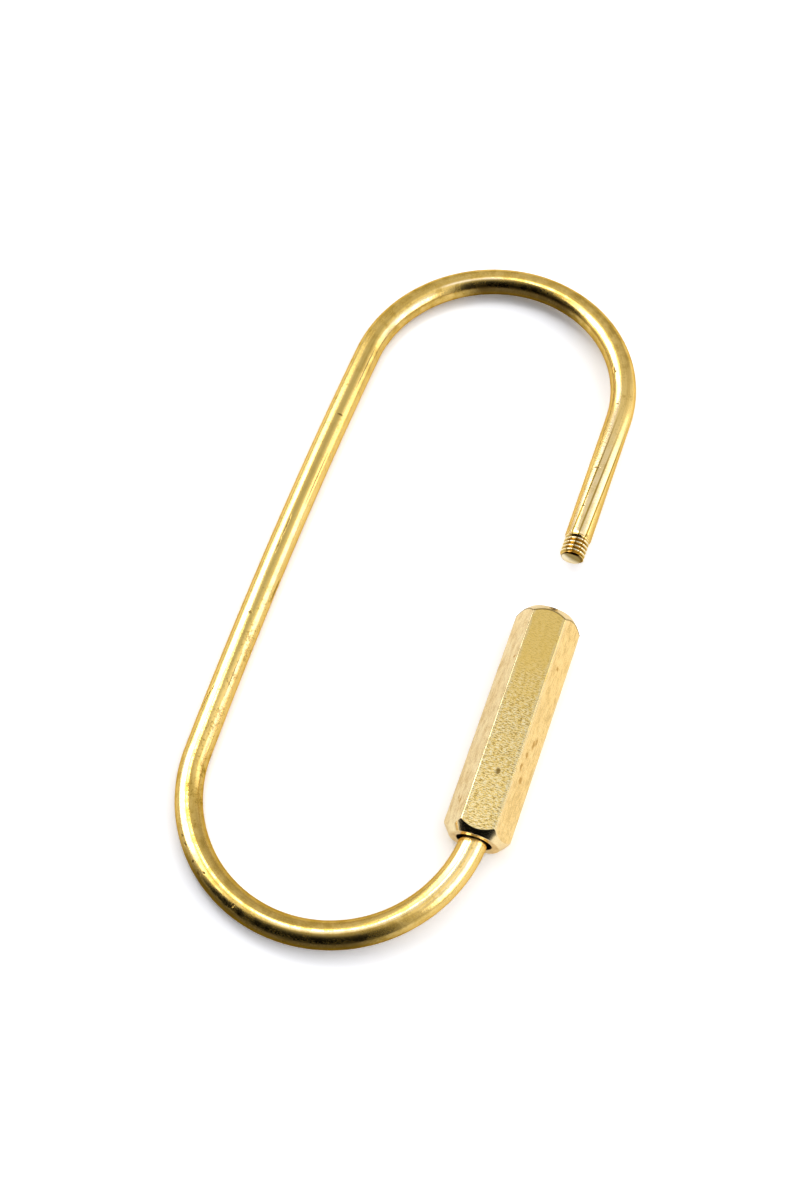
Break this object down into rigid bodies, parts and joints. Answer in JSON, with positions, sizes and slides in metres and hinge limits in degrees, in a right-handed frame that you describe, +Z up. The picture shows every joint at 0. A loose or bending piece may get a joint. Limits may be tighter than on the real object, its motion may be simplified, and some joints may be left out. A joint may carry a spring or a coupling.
{
  "type": "capsule keychain",
  "caption": "Capsule-shaped key loop of bent brass wire. A hexagonal sleeve slides along one arm and closes the gate over the wire's threaded tip.",
  "frame": {"origin": "on the table, under the middle of the bounding box of the loop lying flat with its gate open", "axes": "+Y along both arms, from the sleeve towards the threaded tip; +X from the plain bowed side towards the sleeve; +Z up off the table"},
  "size_m": [0.0368, 0.0868, 0.0063],
  "materials": {
    "drawn_brass": "satin drawn wire with lengthwise draw lines, tarnished brown in the bends and a few small nicks",
    "milled_brass": "matt hexagon bar, worn by handling, with fine marks across the flats and turned, chamfered ends"
  },
  "bodies": {
    "loop": {"wire_loop": "drawn_brass"},
    "sleeve": {"hex_sleeve": "milled_brass"}
  },
  "joints": [
    {"name": "sleeve_slide", "type": "slide", "parent": "loop", "child": "sleeve", "axis": [0, 1, 0], "range_m": [0, 0.0101]}
  ]
}
